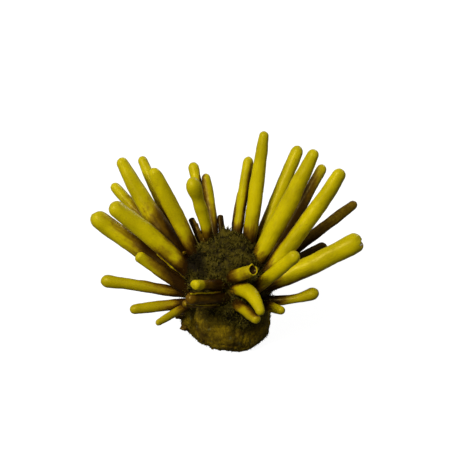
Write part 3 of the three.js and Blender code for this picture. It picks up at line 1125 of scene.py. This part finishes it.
def build_algae(settings):
    """The mat on the crown: a lumpy skin, pierced by the fingers, with blades all over it."""
    rng = random.Random(SEED)
    solid, bare = tree_of(["turf"]), tree_of(["holdfast"])
    columns, rows = 170, 76
    vertices, normals, heights, bleached = [], [], [], []
    rings = []
    for row in range(1, rows + 1):
        ring = []
        for column in range(columns):
            azimuth = 2 * math.pi * column / columns
            polar = hem_polar(azimuth) * row / rows
            direction = direction_of(azimuth, polar)
            radius = mat_radius(solid, bare, direction, 1.6 * MM) + hummock(direction)
            place = np.array(DOME_MIDDLE) + direction * radius
            hem = smoothstep(0.78, 1.0, row / rows)
            lump = 2.0 * MM * ripple(place, 6.5 * MM, 6.1)
            lump += 1.1 * MM * fractal(place, 2.2 * MM, 4, 1.9)
            place = place + direction * (lump * (1 - 0.5 * hem) - hem * 3.2 * MM)
            ring.append(place)
            normals.append(direction)
            heights.append(0.35 + 0.3 * ripple(place, 1.5 * MM, 3.3))
            bleached.append(0.3 + 0.5 * ripple(place, 1.2 * MM, 8.8))
        rings.append(ring)
    count = columns
    vertices = [point for ring in rings for point in ring]
    faces = []
    for r in range(rows - 1):
        for i in range(count):
            j = (i + 1) % count
            faces.append((r * count + i, (r + 1) * count + i, (r + 1) * count + j, r * count + j))
    crown = np.array(DOME_MIDDLE) + UP * (rings[0][0][2] - DOME_MIDDLE.z)
    vertices.append(crown)
    normals.append(UP)
    heights.append(0.4)
    bleached.append(0.3)
    faces.extend((len(vertices) - 1, i, (i + 1) % count) for i in range(count))
    # Close the mat below, inside the stump.
    heel = np.array(DOME_MIDDLE)
    vertices.append(heel)
    normals.append(-UP)
    heights.append(0.0)
    bleached.append(0.0)
    last = (rows - 1) * count
    faces.extend((len(vertices) - 1, last + (i + 1) % count, last + i) for i in range(count))

    sprouts, feet = [], []
    while len(sprouts) < settings.blades:
        row = rows * math.sqrt(rng.random())
        column = rng.randrange(columns)
        index = min(rows - 1, int(row)) * columns + column
        fade = 1 - 0.6 * smoothstep(0.82, 1.0, row / rows)
        clump = smoothstep(-0.25, 0.25, ripple(vertices[index], 2.8 * MM, 5.2))
        if rng.random() < fade * (0.12 + 0.88 * clump):
            tuft = 0.55 + 0.75 * clump
            sprouts.append((vertices[index], normals[index], fade * tuft))
            feet.append(index)
    blades = blade_mesh(sprouts, rng, settings.blade_length, settings.blade_width)
    base = len(vertices)
    mat_normals = list(normals)
    others = tree_without("holdfast", "turf")
    # Painted shade where the fingers crowd the mat, joined by its dark hollows and patches.
    hemmed = list(crowding(others, vertices, mat_normals, 20 * MM, rays=12, lift=1.0 * MM))
    hemmed = [max(tight, darkness_at(place)) for tight, place in zip(hemmed, vertices)]
    blade_points = len(blades[0]) // len(sprouts)
    hemmed += [hemmed[index] for index in feet for _ in range(blade_points)]
    vertices += blades[0]
    faces += [tuple(base + v for v in face) for face in blades[1]]
    heights += blades[2]
    bleached += blades[3]
    attributes = {"hemmed": hemmed, "height": heights, "bleached": bleached}
    piece = mesh_object("algae_mat", vertices, faces, attributes)
    piece.data.materials.append(algae_material(settings))
    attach(piece, "root")
    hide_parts("turf")
    return piece


def build_fringe(settings, algae, stone):
    """Loose fibres and small algae on the holdfast's flank and round its cut."""
    rng = random.Random(SEED + 1)
    places = [v.co.copy() for v in stone.data.vertices]
    normals = [v.normal.copy() for v in stone.data.vertices]
    columns = settings.columns
    first = 5 * columns
    sprouts = []
    while len(sprouts) < settings.fibres:
        index = first + int(columns * settings.rows * rng.random() ** 1.2 * 0.62)
        place, normal = places[index], normals[index]
        thick = growth_at(place)
        if rng.random() < 0.30 + 0.7 * thick:
            droop = np.array(normal) + np.array((0, 0, rng.uniform(-0.9, 0.4)))
            sprouts.append((place, unit(droop), rng.uniform(0.35, 0.8)))
    sprouts = [s for s in sprouts if s[0].z > 1.2 * MM or s[1][2] > -0.2]
    blades = blade_mesh(sprouts, rng, 1.9 * MM, 0.26 * MM)
    vertices = [np.array((p[0], p[1], max(0.0, p[2]))) for p in blades[0]]
    # A little painted shade, the same on every fibre.
    attributes = {
        "hemmed": [0.1] * len(vertices), "height": blades[2], "bleached": blades[3],
    }
    piece = mesh_object("holdfast_fringe", vertices, blades[1], attributes)
    piece.data.materials.append(algae_material(algae))
    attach(piece, "root")
    return piece


# ---------------------------------------------------------------- operators


def settings_of(context):
    return context.scene.finger_coral


class FingerGroup:
    """What the operators for groups of fingers share."""

    bl_options = {"REGISTER", "UNDO"}

    def execute(self, context):
        settings = settings_of(context)
        sprouts = []
        for name in self.fingers:
            sprouts += build_finger(name, settings.finger)
        group = self.bl_label.lower().replace(" ", "_")
        build_root_algae(group, sprouts, settings.algae)
        return {"FINISHED"}


class CORAL_OT_left_fan(FingerGroup, bpy.types.Operator):
    """Build the long fingers that lean to the left"""

    bl_idname = "coral.left_fan"
    bl_label = "Left Fan"
    fingers = LEFT_FAN


class CORAL_OT_back_row(FingerGroup, bpy.types.Operator):
    """Build the upright fingers behind the crown"""

    bl_idname = "coral.back_row"
    bl_label = "Back Row"
    fingers = BACK_ROW


class CORAL_OT_right_fan(FingerGroup, bpy.types.Operator):
    """Build the long fingers that lean to the right"""

    bl_idname = "coral.right_fan"
    bl_label = "Right Fan"
    fingers = RIGHT_FAN


class CORAL_OT_front_cluster(FingerGroup, bpy.types.Operator):
    """Build the short fingers in front, one of them broken open"""

    bl_idname = "coral.front_cluster"
    bl_label = "Front Cluster"
    fingers = FRONT_CLUSTER


class CORAL_OT_low_fingers(FingerGroup, bpy.types.Operator):
    """Build the thin low fingers at the sides"""

    bl_idname = "coral.low_fingers"
    bl_label = "Low Fingers"
    fingers = LOW_FINGERS


class CORAL_OT_rear_fingers(FingerGroup, bpy.types.Operator):
    """Build the low fingers round the back"""

    bl_idname = "coral.rear_fingers"
    bl_label = "Rear Fingers"
    fingers = REAR_FINGERS


class CORAL_OT_holdfast(bpy.types.Operator):
    """Build the holdfast, cut off flat, with its loose fibres"""

    bl_idname = "coral.holdfast"
    bl_label = "Holdfast"
    bl_options = {"REGISTER", "UNDO"}

    def execute(self, context):
        settings = settings_of(context)
        stone = build_holdfast(settings.holdfast, settings.algae)
        build_fringe(settings.holdfast, settings.algae, stone)
        return {"FINISHED"}


class CORAL_OT_algae(bpy.types.Operator):
    """Build the mat of short algae on the crown"""

    bl_idname = "coral.algae"
    bl_label = "Algae"
    bl_options = {"REGISTER", "UNDO"}

    def execute(self, context):
        build_algae(settings_of(context).algae)
        return {"FINISHED"}


class CORAL_OT_buds(bpy.types.Operator):
    """Build the small buds, the crumbs and the thin runner"""

    bl_idname = "coral.buds"
    bl_label = "Buds"
    bl_options = {"REGISTER", "UNDO"}

    def execute(self, context):
        settings = settings_of(context).finger
        for name in BUDS:
            build_bud(name, settings)
        for name in RUNNERS:
            build_runner(name, settings)
        return {"FINISHED"}


class CORAL_OT_stage(bpy.types.Operator):
    """Set the pale table, the soft lights and the camera"""

    bl_idname = "coral.stage"
    bl_label = "Stage"
    bl_options = {"REGISTER", "UNDO"}

    def execute(self, context):
        settings = settings_of(context).stage
        build_floor(settings)
        build_lights(context.scene, settings)
        build_camera(context.scene, settings)
        return {"FINISHED"}


def build_floor(settings):
    sides = 96
    ring = [
        (settings.floor_radius * math.cos(2 * math.pi * i / sides),
         settings.floor_radius * math.sin(2 * math.pi * i / sides), 0.0)
        for i in range(sides)
    ]
    floor = mesh_object("table", ring, [tuple(range(sides))], {})
    f = Finish("table_white")
    grain = f.noise(f.node("TexCoord").outputs["Object"], 20 * MM, 2)
    f.put(f.shader.inputs["Base Color"], f.mix(grain, (0.12, 0.12, 0.117), (0.14, 0.14, 0.137)))
    f.put(f.shader.inputs["Roughness"], 0.9)
    f.put(f.shader.inputs["Emission Color"], (1, 1, 1))
    f.put(f.shader.inputs["Emission Strength"], settings.floor_glow)
    floor.data.materials.append(f.material)
    floor.visible_diffuse = False
    floor.visible_glossy = False


KEY_FROM = (-0.60, -0.56, 0.90)
BACK_FROM = (0.5, 0.85, 0.5)


def build_lights(scene, settings):
    key = bpy.data.lights.new("key_light", "SUN")
    key.energy = settings.key_strength
    key.angle = settings.key_spread
    key.color = (1.0, 0.97, 0.88)
    lamp = bpy.data.objects.new("key_light", key)
    scene.collection.objects.link(lamp)
    lamp.rotation_euler = Vector(KEY_FROM).to_track_quat("Z", "Y").to_euler()
    back = bpy.data.lights.new("back_light", "SUN")
    back.energy = settings.back_strength
    back.angle = settings.key_spread
    back_lamp = bpy.data.objects.new("back_light", back)
    scene.collection.objects.link(back_lamp)
    back_lamp.rotation_euler = Vector(BACK_FROM).to_track_quat("Z", "Y").to_euler()
    room = bpy.data.worlds.new("soft_room")
    room.use_nodes = True
    tree = room.node_tree
    background = tree.nodes["Background"]
    coordinate = tree.nodes.new("ShaderNodeTexCoord")
    split = tree.nodes.new("ShaderNodeSeparateXYZ")
    ramp = tree.nodes.new("ShaderNodeMapRange")
    ramp.inputs["From Min"].default_value = -0.6
    ramp.inputs["From Max"].default_value = 0.8
    ramp.inputs["To Min"].default_value = 0.35 * settings.room_strength
    ramp.inputs["To Max"].default_value = 1.3 * settings.room_strength
    tree.links.new(coordinate.outputs["Generated"], split.inputs[0])
    tree.links.new(split.outputs["Z"], ramp.inputs["Value"])
    tree.links.new(ramp.outputs[0], background.inputs["Strength"])
    background.inputs["Color"].default_value = (1, 1, 1, 1)
    scene.world = room
    scene.view_settings.view_transform = "Standard"


LOOKS_AT = (0.6 * MM, 0, 70.6 * MM)


def build_camera(scene, settings):
    lens = bpy.data.cameras.new("camera")
    lens.lens = 85
    lens.sensor_width = 36
    lens.clip_end = 50
    camera = bpy.data.objects.new("camera", lens)
    scene.collection.objects.link(camera)
    back = Vector((0, -math.cos(settings.camera_height), math.sin(settings.camera_height)))
    camera.location = Vector(LOOKS_AT) + back * settings.camera_distance
    camera.rotation_euler = back.to_track_quat("Z", "Y").to_euler()
    scene.camera = camera


class CORAL_PT_panel(bpy.types.Panel):
    """Lists the pieces of the colony"""

    bl_idname = "CORAL_PT_panel"
    bl_label = "Finger Coral"
    bl_space_type = "VIEW_3D"
    bl_region_type = "UI"
    bl_category = "Coral"

    def draw(self, context):
        settings = settings_of(context)
        for title, group in (
            ("Fingers", settings.finger), ("Holdfast", settings.holdfast),
            ("Algae", settings.algae), ("Stage", settings.stage),
        ):
            box = self.layout.box()
            box.label(text=title)
            for key in group.__annotations__:
                box.prop(group, key)
        for operator in OPERATORS:
            self.layout.operator(operator.bl_idname)


OPERATORS = (
    CORAL_OT_stage,
    CORAL_OT_holdfast,
    CORAL_OT_algae,
    CORAL_OT_left_fan,
    CORAL_OT_back_row,
    CORAL_OT_right_fan,
    CORAL_OT_front_cluster,
    CORAL_OT_low_fingers,
    CORAL_OT_rear_fingers,
    CORAL_OT_buds,
)
CLASSES = (
    FingerSettings, HoldfastSettings, AlgaeSettings, StageSettings, CoralSettings,
    *OPERATORS, CORAL_PT_panel,
)


def register():
    for each in CLASSES:
        bpy.utils.register_class(each)
    bpy.types.Scene.finger_coral = PointerProperty(type=CoralSettings)


def unregister():
    del bpy.types.Scene.finger_coral
    for each in reversed(CLASSES):
        bpy.utils.unregister_class(each)


def main():
    register()
    for operator in OPERATORS:
        category, name = operator.bl_idname.split(".")
        getattr(getattr(bpy.ops, category), name)()


if __name__ == "__main__":
    main()
